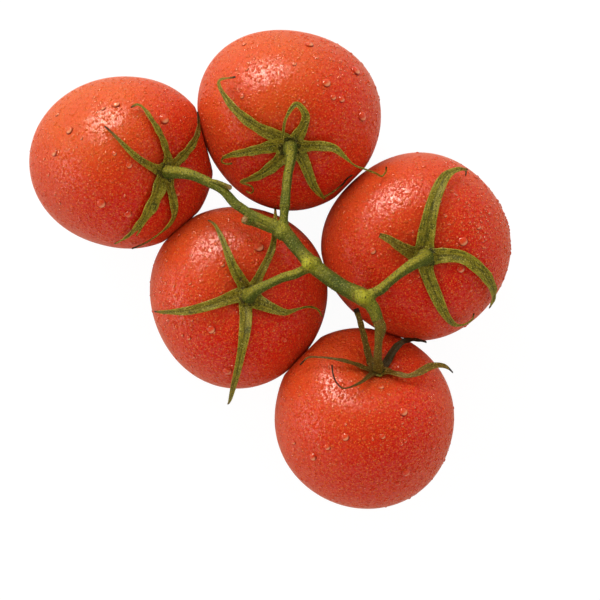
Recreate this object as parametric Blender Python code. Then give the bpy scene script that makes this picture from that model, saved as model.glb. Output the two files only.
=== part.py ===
"""Truss of tomatoes: five fruits on one branching stem, lying on a flat surface.

All sizes in the tables are millimetres, and MM turns them into metres. +Z is up, the fruits stand on
z = 0 and the origin is at the middle of the bunch. Bearings are degrees, counter-clockwise from +X.

Each fruit is a bulged ellipsoid about its own stem axis. A little unevenness, the dimple of the stem
and the flat faces where it presses on its neighbours are taken off that radius. The sepals are drawn
on the skin, by bearing and reach from the stem axis, with a rise above the skin.
"""

import math

import bmesh
import bpy
import numpy as np
from mathutils import Vector

MM = 0.001

# Fruits: centre (x, y), girth radius, half height, lean of the stem axis and the bearing it leans to,
# depth of the stem dimple, and lobes as (count, share of the radius, bearing)
FRUITS = {
    "a": {"centre": (-51.2, 37.2), "girth": 30.4, "half": 29.9, "lean": 41, "toward": -15,
          "dimple": 5.0, "lobes": [(2, 0.020, 10), (3, 0.013, 58)]},
    "b": {"centre": (6.8, 52.7), "girth": 31.4, "half": 29.5, "lean": 27, "toward": -87,
          "dimple": 4.5, "lobes": [(2, 0.029, 153), (3, 0.029, 25)]},
    "c": {"centre": (-11.0, -9.5), "girth": 31.4, "half": 28.5, "lean": 10, "toward": 2,
          "dimple": 4.5, "lobes": [(2, 0.015, 95), (3, 0.020, 24)]},
    "d": {"centre": (51.5, 7.9), "girth": 32.5, "half": 29.5, "lean": 10, "toward": -73,
          "dimple": 4.5, "lobes": [(2, 0.005, 12), (3, 0.011, 58), (4, 0.013, 0)]},
    "e": {"centre": (33.1, -52.1), "girth": 31.1, "half": 29.0, "lean": 46, "toward": 77,
          "dimple": 5.5, "lobes": [(2, 0.014, 136)]},
}
TOUCHING = ["ab", "ac", "bc", "bd", "cd", "ce", "de"]
BULGE = 2.3             # exponent of the profile: 2 is an ellipse, more is squarer
DIMPLE_SPREAD = 21      # degrees from the stem axis
SCAR_DEPTH = 1.0        # hollow at the blossom end
SCAR_SPREAD = 12
PRESS_ROUND = 0.7       # rounding at the edge of a pressed face
PRESS_GAP = 0.4         # room left between two pressed faces
FLAT_CUT = 0.4          # flattened off the lowest point, where a fruit rests
FRUIT_SIDES = 32
FRUIT_BELTS = 20

# Sepals: (width, [(bearing, reach, rise), ...]) from root to tip
SEPALS = {
    "a": [
        (3.2, [(168, 5.5, 0.5), (159, 15, 1.5), (146, 28, 2)]),
        (3.4, [(91, 4.5, 0.5), (113, 17.5, 1.5), (115, 25, 2), (122, 25.5, 2.5)]),
        (3.6, [(42, 5.5, 0.5), (51, 16, 2), (59, 22.5, 3)]),
        (5.2, [(235, 4, 0.5), (234, 17.5, 1.5), (246, 33.5, 1.5)]),
        (4.4, [(283, 6, 0.5), (275, 16, 1.5), (264, 26, 1.5)]),
    ],
    "b": [
        (5.0, [(135, 6, 0.5), (144, 14.5, 1.5), (143, 25.5, 3), (139, 32.5, 4), (128, 29.5, 4.5)]),
        (4.0, [(60, 6, 0.5), (70, 13.5, 4.5), (84, 16, 5.5), (97, 12, 5.5), (125, 5, 3.5)]),
        (4.0, [(7, 5, 0.5), (16, 10, 2), (8, 13.5, 3), (346, 22, 8), (342, 27.5, 10.5)]),
        (4.0, [(320, 5.5, 0.5), (301, 15.5, 2), (301, 23.5, 2.5)]),
        (4.4, [(233, 5, 0.5), (222, 14, 2), (219, 23.5, 2)]),
        (4.6, [(174, 6.5, 0.5), (179, 12.5, 1.5), (193, 25, 2.5)]),
    ],
    "c": [
        (3.8, [(119, 6.5, 0.5), (119, 28.5, 2.5), (120, 32, 2.5)]),
        (3.8, [(62, 6.5, 0.5), (58, 12, 1.5), (62, 16.5, 2.5), (65, 20.5, 3.5), (72, 31, 6)]),
        (4.2, [(179, 5.5, 0.5), (192, 24, 2.5), (190, 36.5, 2.5)]),
        (4.6, [(253, 4.5, 0.5), (261, 9.5, 1), (262, 33.5, 4.5), (264, 47.5, 5.5)]),
        (4.2, [(314, 4.5, 0.5), (337, 15, 2), (350, 22, 3), (345, 28.5, 3.5)]),
    ],
    "d": [
        (5.0, [(89, 5.5, 0.5), (84, 17.5, 2), (76, 29, 3), (63, 37, 3)]),
        (3.6, [(148, 5, 0.5), (163, 8, 2.5), (151, 11.5, 3.5), (151, 16.5, 3.5)]),
        (4.6, [(359, 4, 0.5), (5, 10.5, 1), (348, 21.5, 2), (330, 32, 2), (321, 36.5, 1.5)]),
        (4.6, [(281, 5.5, 0.5), (293, 25.5, 1.5), (298, 32, 1.5), (304, 34, 1.5)]),
    ],
    "e": [
        (3.8, [(123, 7, 1), (123, 12.5, 14.5)]),
        (3.4, [(39, 5.5, 0.5), (49, 12, 3.5), (41, 16.5, 4.5), (34, 20.5, 4.5)]),
        (4.2, [(13, 3, 0.5), (328, 11.5, 2.5), (347, 14.5, 3.5), (5, 22.5, 4), (4, 26, 4.5)]),
        (3.0, [(229, 6, 1), (229, 13.5, 3), (217, 18.5, 4), (194, 16.5, 4.5)]),
        (3.4, [(172, 5.5, 0.5), (178, 14, 2.5), (176, 21.5, 4), (181, 26, 4.5)]),
    ],
}
SEPAL_ROOT = 1.8        # reach of the root of each sepal, inside the hub
SEPAL_THICK = 0.7
SEPAL_TIP = 0.8         # width of the cut tip
SEPAL_CLEAR = 0.35      # room between a sepal and any skin
RING_STEP = 2.2         # length of sepal between two rings
HUB_RADIUS = 3.8
HUB_RISE = (0.35, 1.45)

# Main stem: runs of (x, y, z, radius) that are fused into one. Those with the letter of a fruit end at
# its knuckle, where the pedicel begins
STEM_RUNS = {
    "a": [(32.4, -10.2, 59.5, 3), (23.7, -5.7, 59.5, 2.7), (15.2, 0.7, 59, 2.7), (10.7, 5.4, 58.5, 2.35),
          (4.9, 12.2, 58, 2.5), (-0.2, 15.3, 58, 2.0), (-6, 18, 57.5, 1.9), (-9.4, 20.3, 57, 2.0)],
    "b": [(4.9, 12, 58, 2.0), (5.3, 17, 58, 1.5), (5.6, 20.4, 58, 1.7)],
    "c": [(15.2, 0.8, 59, 2.0), (11.2, -1.2, 59.5, 1.6)],
    "d": [(32.4, -10.2, 59.5, 2.4), (36.2, -8.1, 60.3, 1.8)],
    "e": [(32.4, -10.2, 59.5, 2.6), (35.2, -13.7, 59.5, 2.2), (36.9, -18, 59, 2.0)],
    "cut_end": [(32.4, -10.2, 59.5, 2.9), (31.8, -10.0, 55, 2.7), (30.9, -9.6, 51.7, 2.6)],
    "dried": [(3.3, 12.4, 57.5, 1.6), (-2.5, 14.1, 57, 1.2), (-8, 16.6, 56.5, 1.0)],
}
STEM_NODES = [(4.9, 12, 58, 3.0), (15.2, 0.8, 59, 3.1), (13.3, 2.6, 60, 1.9), (32.5, -10.4, 60, 3.1)]

# Pedicels: (x, y, z, radius) from past the knuckle to before the head, which follows the stem axis
PEDICELS = {
    "a": [(-15.4, 26, 57, 1.6), (-21.5, 29.4, 57, 1.7), (-27, 31.6, 56, 1.8)],
    "b": [(6.6, 31, 58, 1.5), (7.6, 36.5, 57.5, 1.7)],
    "c": [(5, -3.4, 60, 1.5), (0, -5.6, 59.7, 1.5), (-4, -7.6, 58.5, 1.8)],
    "d": [(40, -5.3, 60.9, 1.5), (43.5, -2.4, 61.5, 1.6), (48.5, 1, 61.2, 1.9)],
    "e": [(37.2, -24, 57, 1.5), (37.0, -27.5, 54.8, 1.4), (37.0, -31, 52, 1.7)],
}
KNUCKLE_GAP = 0.4
KNUCKLE_RUN = 2         # length past the knuckle that still points as the stub does
HEAD_RADIUS = 2.2
HEAD_RISE = (1.8, 4.2)  # the head's flat end and its shoulder, above the skin
# Stub of a flower that set no fruit, fused to the pedicel of fruit a
SIDE_STUB = [(-21.5, 28.8, 57.6, 1.1), (-17.5, 28.6, 58.5, 0.9), (-12.2, 26.6, 58.5, 0.8)]
TUBE_SIDES = 12
TUBE_STEP = 2.2

SKIN_RED = (0.52, 0.035, 0.012, 1)
STEM_GREEN = (0.12, 0.13, 0.018, 1)
CALYX_GREEN = (0.10, 0.105, 0.018, 1)


def clear_file():
    """Remove whatever the file opened with."""
    for item in list(bpy.data.objects):
        bpy.data.objects.remove(item, do_unlink=True)


def painted(name, colour, roughness):
    """A Principled material of one colour."""
    made = bpy.data.materials.new(name)
    made.use_nodes = True
    shader = made.node_tree.nodes["Principled BSDF"]
    shader.inputs["Base Color"].default_value = colour
    shader.inputs["Roughness"].default_value = roughness
    shader.inputs["Metallic"].default_value = 0.0
    made.diffuse_color = colour
    return made


def tilt(fruit):
    """Matrix of the shortest turn that takes +Z to the stem axis of the fruit."""
    lean, toward = math.radians(fruit["lean"]), math.radians(fruit["toward"])
    axis = Vector((math.sin(lean) * math.cos(toward), math.sin(lean) * math.sin(toward), math.cos(lean)))
    return np.array(Vector((0, 0, 1)).rotation_difference(axis).to_matrix())


def skin_radius(fruit, toward):
    """Distance from the centre of the fruit to its skin along each unit vector of toward.

    r = ((sin t / girth)^BULGE + (cos t / half)^BULGE)^(-1 / BULGE), with t the angle from the stem
    axis, less a bell-shaped hollow at both ends, and times 1 + sum of share cos(count (angle - bearing)).
    A pressed face is a plane at distance h: the smaller of r and h / cos, with a rounded edge.
    """
    angle = np.arccos(np.clip(toward @ fruit["axis"], -1, 1))
    r = ((np.sin(angle) / fruit["girth"]) ** BULGE
         + (np.abs(np.cos(angle)) / fruit["half"]) ** BULGE) ** (-1 / BULGE)
    degrees = np.degrees(angle)
    r = r - fruit["dimple"] * np.exp(-(degrees / DIMPLE_SPREAD) ** 2)
    r = r - SCAR_DEPTH * np.exp(-((180 - degrees) / SCAR_SPREAD) ** 2)
    level = toward[..., 0] + 1j * toward[..., 1]
    lobes = 1.0
    for count, share, bearing in fruit["lobes"]:
        lobes = lobes + share * ((level * np.exp(-1j * math.radians(bearing))) ** count).real
    r = r * lobes
    for normal, distance in fruit["pressed"]:
        facing = toward @ normal
        face = np.where(facing > 0.05, distance / np.maximum(facing, 0.05), 20 * distance)
        least = np.minimum(r, face)
        r = least - PRESS_ROUND * np.log(
            np.exp((least - r) / PRESS_ROUND) + np.exp((least - face) / PRESS_ROUND))
    return r


def settle_fruits():
    """Work out how high each fruit lies and where it presses on the others."""
    polar, round_ = np.meshgrid(np.linspace(0, math.pi, 121), np.linspace(0, 2 * math.pi, 181))
    every_way = np.stack([np.sin(polar) * np.cos(round_), np.sin(polar) * np.sin(round_), np.cos(polar)], -1)
    for fruit in FRUITS.values():
        fruit["turn"] = tilt(fruit)
        fruit["axis"] = fruit["turn"] @ (0, 0, 1)
        fruit["pressed"] = []
        lowest = (skin_radius(fruit, every_way) * every_way[..., 2]).min()
        fruit["at"] = np.array([*fruit["centre"], -lowest - FLAT_CUT])
    faces = []
    for first, second in TOUCHING:
        one, other = FRUITS[first], FRUITS[second]
        between = other["at"] - one["at"]
        length = np.linalg.norm(between)
        share = length * one["girth"] / (one["girth"] + other["girth"])
        faces.append((one, between / length, share - PRESS_GAP / 2))
        faces.append((other, -between / length, length - share - PRESS_GAP / 2))
    for fruit, normal, distance in faces:
        fruit["pressed"].append((normal, distance))


def on_skin(fruit, bearing, reach, rise):
    """Points at a bearing (radians) and reach from the stem axis, risen above the skin."""
    angle = reach / fruit["girth"]
    local = np.stack([np.sin(angle) * np.cos(bearing), np.sin(angle) * np.sin(bearing), np.cos(angle)], -1)
    toward = local @ fruit["turn"].T
    return fruit["at"] + (skin_radius(fruit, toward) + rise)[..., None] * toward


def clear_of_skins(points, room):
    """Move points outward until none is nearer than room to any skin."""
    for _ in range(4):
        for fruit in FRUITS.values():
            arm = points - fruit["at"]
            length = np.linalg.norm(arm, axis=-1)
            toward = arm / length[..., None]
            need = skin_radius(fruit, toward) + room
            points = fruit["at"] + np.maximum(length, need)[..., None] * toward
    return points


def smooth_path(marks, step):
    """A smooth run through the rows of marks, at even steps: a centripetal Catmull-Rom curve."""
    marks = np.array(marks, float)
    marks = np.vstack([2 * marks[0] - marks[1], marks, 2 * marks[-1] - marks[-2]])
    knots = np.concatenate([[0], np.cumsum(np.linalg.norm(np.diff(marks[:, :3], axis=0), axis=1) ** 0.5)])
    fine = []
    for i in range(1, len(marks) - 2):
        t0, t1, t2, t3 = knots[i - 1:i + 3]
        p0, p1, p2, p3 = marks[i - 1:i + 3]
        for t in np.linspace(t1, t2, 16, endpoint=i == len(marks) - 3):
            a1 = ((t1 - t) * p0 + (t - t0) * p1) / (t1 - t0)
            a2 = ((t2 - t) * p1 + (t - t1) * p2) / (t2 - t1)
            a3 = ((t3 - t) * p2 + (t - t2) * p3) / (t3 - t2)
            b1 = ((t2 - t) * a1 + (t - t0) * a2) / (t2 - t0)
            b2 = ((t3 - t) * a2 + (t - t1) * a3) / (t3 - t1)
            fine.append(((t2 - t) * b1 + (t - t1) * b2) / (t2 - t1))
    fine = np.array(fine)
    run = np.concatenate([[0], np.cumsum(np.linalg.norm(np.diff(fine[:, :3], axis=0), axis=1))])
    count = max(3, round(run[-1] / step) + 1)
    even = np.linspace(0, run[-1], count)
    return np.stack([np.interp(even, run, fine[:, k]) for k in range(fine.shape[1])], -1)


def new_object(name, mesh, material=None):
    """Link an object of the mesh, with one material."""
    made = bpy.data.objects.new(name, mesh)
    if material:
        mesh.materials.clear()
        mesh.materials.append(material)
    bpy.context.scene.collection.objects.link(made)
    return made


def ball(name, sides, belts, place, material=None):
    """A ball whose unit points are moved by place, a function of an array of unit vectors."""
    mesh = bpy.data.meshes.new(name)
    net = bmesh.new()
    bmesh.ops.create_uvsphere(net, u_segments=sides, v_segments=belts, radius=1)
    unit = np.array([corner.co for corner in net.verts])
    for corner, spot in zip(net.verts, place(unit) * MM):
        corner.co = spot
    net.to_mesh(mesh)
    net.free()
    return new_object(name, mesh, material)


def loft(name, rings, material=None):
    """Skin over a row of rings of corners, closed at both ends."""
    mesh = bpy.data.meshes.new(name)
    net = bmesh.new()
    rows = [[net.verts.new(corner * MM) for corner in ring] for ring in rings]
    for row, following in zip(rows, rows[1:]):
        for i, corner in enumerate(row):
            j = (i + 1) % len(row)
            net.faces.new((corner, row[j], following[j], following[i]))
    net.faces.new(reversed(rows[0]))
    net.faces.new(rows[-1])
    bmesh.ops.triangulate(net, faces=net.faces)
    bmesh.ops.recalc_face_normals(net, faces=net.faces)
    net.to_mesh(mesh)
    net.free()
    return new_object(name, mesh, material)


def tube(name, marks, material=None):
    """A round stem along marks of (x, y, z, radius), with flat ends: a bevelled curve made a mesh."""
    path = smooth_path(marks, TUBE_STEP)
    curve = bpy.data.curves.new(name, "CURVE")
    curve.dimensions = "3D"
    curve.bevel_depth = MM
    curve.bevel_resolution = TUBE_SIDES // 4 - 1
    curve.use_fill_caps = True
    spline = curve.splines.new("POLY")
    spline.points.add(len(path) - 1)
    for point, (x, y, z, radius) in zip(spline.points, path):
        point.co = (x * MM, y * MM, z * MM, 1)
        point.radius = radius
    drawn = bpy.data.objects.new(name, curve)
    mesh = bpy.data.meshes.new_from_object(drawn)
    bpy.data.objects.remove(drawn)
    bpy.data.curves.remove(curve)
    net = bmesh.new()
    net.from_mesh(mesh)
    bmesh.ops.remove_doubles(net, verts=net.verts, dist=0.01 * MM)
    bmesh.ops.recalc_face_normals(net, faces=net.faces)
    net.to_mesh(mesh)
    net.free()
    return new_object(name, mesh, material)


def fuse(name, pieces, material):
    """One solid from several that overlap."""
    base = pieces[0]
    others = bpy.data.collections.new(name + "_pieces")
    for piece in pieces[1:]:
        others.objects.link(piece)
    union = base.modifiers.new("fuse", "BOOLEAN")
    union.operation = "UNION"
    union.operand_type = "COLLECTION"
    union.collection = others
    union.solver = "EXACT"
    union.use_self = False
    mesh = bpy.data.meshes.new_from_object(base.evaluated_get(bpy.context.evaluated_depsgraph_get()))
    for piece in pieces:
        bpy.data.objects.remove(piece, do_unlink=True)
    bpy.data.collections.remove(others)
    net = bmesh.new()
    net.from_mesh(mesh)
    bmesh.ops.remove_doubles(net, verts=net.verts, dist=0.005 * MM)
    bmesh.ops.dissolve_degenerate(net, dist=0.005 * MM, edges=net.edges)
    bmesh.ops.triangulate(net, faces=net.faces)
    net.to_mesh(mesh)
    net.free()
    return new_object(name, mesh, material)


def build_fruit(key, material):
    """One tomato, cut flat where it rests on the surface."""
    fruit = FRUITS[key]

    def place(unit):
        toward = unit @ fruit["turn"].T
        return fruit["at"] + skin_radius(fruit, toward)[:, None] * toward

    made = ball("fruit_" + key, FRUIT_SIDES, FRUIT_BELTS, place, material)
    net = bmesh.new()
    net.from_mesh(made.data)
    cut = bmesh.ops.bisect_plane(net, geom=net.verts[:] + net.edges[:] + net.faces[:],
                                 plane_co=(0, 0, 0), plane_no=(0, 0, 1), clear_inner=True)
    rim = [item for item in cut["geom_cut"] if isinstance(item, bmesh.types.BMEdge)]
    bmesh.ops.edgeloop_fill(net, edges=rim)
    bmesh.ops.recalc_face_normals(net, faces=net.faces)
    net.to_mesh(made.data)
    net.free()
    return made


def sepal_width(along, width):
    """Half width of a sepal at a share of its length: widest near the root, then a long taper."""
    leaf = np.minimum(1, 0.62 + 2.2 * along) * (1 - along) ** 0.7
    return (width * leaf + SEPAL_TIP * (1 - leaf)) / 2


def build_sepal(fruit, width, marks):
    """One sepal, as a strip with six corners to a ring."""
    marks = [(marks[0][0], SEPAL_ROOT, 0.9), *marks]
    flat = [(reach * math.cos(math.radians(bearing)), reach * math.sin(math.radians(bearing)), rise)
            for bearing, reach, rise in marks]
    path = smooth_path(flat, RING_STEP)
    bearing, reach = np.arctan2(path[:, 1], path[:, 0]), np.hypot(path[:, 0], path[:, 1])
    middle = on_skin(fruit, bearing, reach, path[:, 2])
    middle = clear_of_skins(middle, SEPAL_CLEAR + SEPAL_THICK / 2)
    out = middle - fruit["at"]
    ahead = np.gradient(middle, axis=0)
    across = np.cross(ahead, out)
    across /= np.linalg.norm(across, axis=1)[:, None]
    half = sepal_width(np.linspace(0, 1, len(path)), width)[:, None]
    left = clear_of_skins(middle + across * half, SEPAL_CLEAR + SEPAL_THICK / 2)
    right = clear_of_skins(middle - across * half, SEPAL_CLEAR + SEPAL_THICK / 2)
    up = np.cross(across, ahead)
    up *= SEPAL_THICK / 2 / np.linalg.norm(up, axis=1)[:, None]
    rings = np.stack([left + up, middle + up, right + up, right - up, middle - up, left - up], 1)
    return loft("sepal", rings)


def build_calyx(key, material):
    """Hub and sepals of one fruit, fused."""
    fruit = FRUITS[key]

    def place(unit):
        bearing, reach = np.arctan2(unit[:, 1], unit[:, 0]), HUB_RADIUS * np.hypot(unit[:, 0], unit[:, 1])
        low, high = HUB_RISE
        return on_skin(fruit, bearing, reach, low + (high - low) * (1 + unit[:, 2]) / 2)

    hub = ball("hub", 20, 8, place)
    return fuse("calyx_" + key, [hub] + [build_sepal(fruit, *leaf) for leaf in SEPALS[key]], material)


def build_pedicel(key, material):
    """Stalk of one fruit, from the knuckle to the head over the calyx."""
    fruit = FRUITS[key]
    before, knuckle = np.array(STEM_RUNS[key][-2:])
    ahead = (knuckle - before)[:3] / np.linalg.norm((knuckle - before)[:3])
    marks = [(*(knuckle[:3] + ahead * past), knuckle[3]) for past in (KNUCKLE_GAP, KNUCKLE_RUN)]
    seat = on_skin(fruit, np.array(0.0), np.array(0.0), np.array(0.0))
    head = [(*(seat + fruit["axis"] * rise), HEAD_RADIUS) for rise in reversed(HEAD_RISE)]
    marks += PEDICELS[key] + head
    if key == "a":
        return fuse("pedicel_a", [tube("stalk", marks), tube("side_stub", SIDE_STUB)], material)
    return tube("pedicel_" + key, marks, material)


def build_main_stem(material):
    """Main stem with its nodes, the stubs of the pedicels, one dried stub and the cut end."""
    pieces = [tube("run", run) for run in STEM_RUNS.values()]
    for x, y, z, radius in STEM_NODES:
        pieces.append(ball("node", 16, 10, lambda unit: np.array((x, y, z)) + unit * radius))
    return fuse("main_stem", pieces, material)


clear_file()
settle_fruits()
skin = painted("tomato_skin", SKIN_RED, 0.3)
stem = painted("stem", STEM_GREEN, 0.6)
leaf = painted("calyx", CALYX_GREEN, 0.65)
for letter in FRUITS:
    build_fruit(letter, skin)
    build_calyx(letter, leaf)
    build_pedicel(letter, stem)
build_main_stem(stem)
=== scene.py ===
import math

import bpy
import numpy as np
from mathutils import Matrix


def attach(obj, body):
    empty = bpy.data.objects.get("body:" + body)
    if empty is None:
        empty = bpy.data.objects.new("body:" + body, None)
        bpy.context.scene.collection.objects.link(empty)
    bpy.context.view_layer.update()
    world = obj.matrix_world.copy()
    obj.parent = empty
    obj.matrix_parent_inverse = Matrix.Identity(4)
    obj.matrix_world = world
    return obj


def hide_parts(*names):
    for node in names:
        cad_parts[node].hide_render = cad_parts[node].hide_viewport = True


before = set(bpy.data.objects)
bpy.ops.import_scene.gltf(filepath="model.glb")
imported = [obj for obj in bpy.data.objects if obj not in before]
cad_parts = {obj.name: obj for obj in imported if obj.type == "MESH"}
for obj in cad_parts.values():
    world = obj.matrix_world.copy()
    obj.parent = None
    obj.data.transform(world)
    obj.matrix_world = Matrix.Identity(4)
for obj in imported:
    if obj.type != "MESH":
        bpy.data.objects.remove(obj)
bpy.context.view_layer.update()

# Room: a pale floor under the fruits, a soft lamp on the far side with its own reflection in the skins,
# a wide one overhead, a reflection from the left, and a camera that looks straight down.
mm = 0.001
view_centre = (10.7 * mm, -10.9 * mm)
view_height = 730 * mm

camera_data = bpy.data.cameras.new("camera")
camera_data.lens = 120
camera_data.sensor_width = 36
camera_data.clip_start = 0.01
camera = bpy.data.objects.new("camera", camera_data)
camera.location = (*view_centre, view_height)
bpy.context.scene.collection.objects.link(camera)
bpy.context.scene.camera = camera


# each lamp: bearing and elevation seen from the bunch in degrees, distance and size in metres, power in
# watts, colour, and the kind of light that it gives none of
lamps = {
    "key_lamp": (114, 30, 1.1, (0.50, 0.40), 3.5, (1.0, 0.96, 0.90), "visible_glossy"),
    "side_lamp": (184, 14, 1.2, (0.7, 0.4), 4.0, (1.0, 0.96, 0.94), "visible_diffuse"),
    "glint_lamp": (114, 33, 1.1, (0.52, 0.42), 27.0, (0.92, 0.97, 0.82), "visible_diffuse"),
    "fill_lamp": (114, 84, 1.4, (1.1, 1.1), 4.5, (1.0, 0.98, 0.95), "visible_glossy"),
}
for name, (toward, elevation, distance, size, power, colour, without) in lamps.items():
    light = bpy.data.lights.new(name, "AREA")
    light.shape = "RECTANGLE"
    light.size, light.size_y = size
    light.energy = power
    light.color = colour
    lamp = bpy.data.objects.new(name, light)
    bearing, rise = math.radians(toward), math.radians(elevation)
    lamp.location = (distance * math.cos(rise) * math.cos(bearing),
                     distance * math.cos(rise) * math.sin(bearing), distance * math.sin(rise))
    lamp.rotation_euler = (math.radians(90 - elevation), 0, math.radians(toward + 90))
    setattr(lamp, without, False)
    bpy.context.scene.collection.objects.link(lamp)

bpy.context.scene.view_settings.view_transform = "Standard"


def wire(tree, kind, inputs=None, settings=None):
    """Add a node to a tree, with its settings, and its inputs given as values or as sockets."""
    node = tree.nodes.new(kind)
    for key, value in (settings or {}).items():
        setattr(node, key, value)
    for key, value in (inputs or {}).items():
        if isinstance(value, bpy.types.NodeSocket):
            tree.links.new(value, node.inputs[key])
        else:
            node.inputs[key].default_value = value
    return node


def stretched(tree, value, low=0.0, high=1.0, start=0.0, end=1.0, curve="LINEAR"):
    """A value stretched so that low becomes start and high becomes end, and held there beyond them."""
    ends = {"From Min": low, "From Max": high, "To Min": start, "To Max": end}
    return wire(tree, "ShaderNodeMapRange", {"Value": value, **ends},
                {"interpolation_type": curve}).outputs["Result"]


def combined(tree, first, second, operation="MULTIPLY"):
    """The product of two values, or what another operation makes of them."""
    return wire(tree, "ShaderNodeMath", {0: first, 1: second}, {"operation": operation}).outputs[0]


def layered(tree, colour, *layers):
    """A colour with others laid over it in turn, each given as (share from 0 to 1, colour)."""
    for share, over in layers:
        colour = wire(tree, "ShaderNodeMix", {0: share, 6: colour, 7: over}, {"data_type": "RGBA"}).outputs[2]
    return colour


# the walls of the studio are pale, dimmer on the near right side, and its ceiling, over the camera, is
# dim. The camera itself sees them plain white
wall_cream, plain_white = (1.0, 0.95, 0.87, 1), (1.0, 1.0, 1.0, 1)
near_right_way = (0.6, -0.8, 0.0)
world = bpy.data.worlds.new("studio")
world.use_nodes = True
bpy.context.scene.world = world
tree = world.node_tree
toward = wire(tree, "ShaderNodeTexCoord")
height = wire(tree, "ShaderNodeSeparateXYZ", {"Vector": toward.outputs["Generated"]})
near_right = wire(tree, "ShaderNodeVectorMath", {0: toward.outputs["Generated"], 1: near_right_way},
                  {"operation": "DOT_PRODUCT"})
strength = combined(tree, stretched(tree, height.outputs["Z"], 0.50, 0.90, 1.15, 0.10),
                    stretched(tree, near_right.outputs["Value"], -1.0, 1.0, 1.12, 0.62))
seen = wire(tree, "ShaderNodeLightPath").outputs["Is Camera Ray"]
background = tree.nodes["Background"]
tree.links.new(combined(tree, strength, seen, "MAXIMUM"), background.inputs["Strength"])
tree.links.new(layered(tree, wall_cream, (seen, plain_white)), background.inputs["Color"])


def new_material(name):
    """New material with nodes. Returns it and its tree."""
    made = bpy.data.materials.new(name)
    made.use_nodes = True
    return made, made.node_tree


def set_shader(tree, **inputs):
    """Set inputs of a tree's Principled shader, named with _ for a space, to values or sockets."""
    shader = tree.nodes["Principled BSDF"]
    for key, value in inputs.items():
        entry = shader.inputs[key.replace("_", " ")]
        if isinstance(value, bpy.types.NodeSocket):
            tree.links.new(value, entry)
        else:
            entry.default_value = value


def surface(name, points, faces):
    """Smooth mesh object at the origin from an array of points in millimetres and a list of faces."""
    mesh = bpy.data.meshes.new(name)
    mesh.from_pydata((np.asarray(points) * mm).tolist(), [], faces)
    mesh.validate()
    mesh.shade_smooth()
    piece = bpy.data.objects.new(name, mesh)
    bpy.context.scene.collection.objects.link(piece)
    return piece


floor_half = 1500
floor = surface("floor", [(x * floor_half, y * floor_half, 0) for x, y in ((-1, -1), (1, -1), (1, 1), (-1, 1))],
                [(0, 1, 2, 3)])
# the camera sees the floor as an evenly lit sheet with a faint shadow, and the fruits see it as it is
floor_grey, floor_dark, floor_glow = (0.86, 0.86, 0.86, 1), (0.06, 0.06, 0.06, 1), 0.96
floor_paint, tree = new_material("floor_paint")
seen = wire(tree, "ShaderNodeLightPath").outputs["Is Camera Ray"]
set_shader(tree, Base_Color=layered(tree, floor_grey, (seen, floor_dark)),
           Emission_Strength=combined(tree, seen, floor_glow), Emission_Color=plain_white, Roughness=0.8)
floor.data.materials.append(floor_paint)


# Fruits: five ripe tomatoes with a thin waxy skin. Each is a bulged ball about its own stem axis, with
# the hollow of the stem, a small scar at the blossom end, and flat faces where it presses on the others.
# each fruit: centre, girth radius and half height in millimetres, lean of its stem axis and the bearing
# it leans to in degrees, depth of the hollow, how orange its lit side is painted, and lobes as (count, share,
# bearing)
fruits = {
    "a": {"centre": (-51.2, 37.2), "girth": 30.4, "half": 29.9, "lean": 41, "toward": -15,
          "dimple": 5.0, "orange": 1.2, "lobes": [(2, 0.020, 10), (3, 0.013, 58)]},
    "b": {"centre": (6.8, 52.7), "girth": 31.4, "half": 29.5, "lean": 27, "toward": -87,
          "dimple": 4.5, "orange": 1.15, "lobes": [(2, 0.029, 153), (3, 0.029, 25)]},
    "c": {"centre": (-11.0, -9.5), "girth": 31.4, "half": 28.5, "lean": 10, "toward": 2,
          "dimple": 4.5, "orange": 0.62, "lobes": [(2, 0.015, 95), (3, 0.020, 24)]},
    "d": {"centre": (51.5, 7.9), "girth": 32.5, "half": 29.5, "lean": 10, "toward": -73,
          "dimple": 4.5, "orange": 0.5, "lobes": [(2, 0.005, 12), (3, 0.011, 58), (4, 0.013, 0)]},
    "e": {"centre": (33.1, -52.1), "girth": 31.1, "half": 29.0, "lean": 46, "toward": 77,
          "dimple": 5.5, "orange": 0.55, "lobes": [(2, 0.014, 136)]},
}
touching = ["ab", "ac", "bc", "bd", "cd", "ce", "de"]
bulge = 2.3                         # 2 would be an ellipse
dimple_spread = 21                  # degrees from the stem axis
scar_depth, scar_spread = 1.0, 12   # of the hollow at the blossom end, in millimetres and degrees
press_round, press_gap = 0.12, 0.02
flat_cut = 0.4                      # how much of the lowest skin is pressed flat on the floor
fruit_belts, fruit_sides = 160, 132
# the direction of the lamps: skins, dew, drops and stalks are painted lighter and more orange on the side facing
# it, as painted light
light_toward = np.array((-0.34, 0.50, 0.80))


def stem_turn(lean, toward):
    """Matrix of the shortest turn that takes +Z to the stem axis: I + K + K K (1 - cos) / sin^2."""
    lean, toward = math.radians(lean), math.radians(toward)
    axis = np.array((math.sin(lean) * math.cos(toward), math.sin(lean) * math.sin(toward), math.cos(lean)))
    cross = np.array([[0, 0, axis[0]], [0, 0, axis[1]], [-axis[0], -axis[1], 0]])
    return np.eye(3) + cross + cross @ cross * (1 - axis[2]) / math.sin(lean) ** 2


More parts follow.
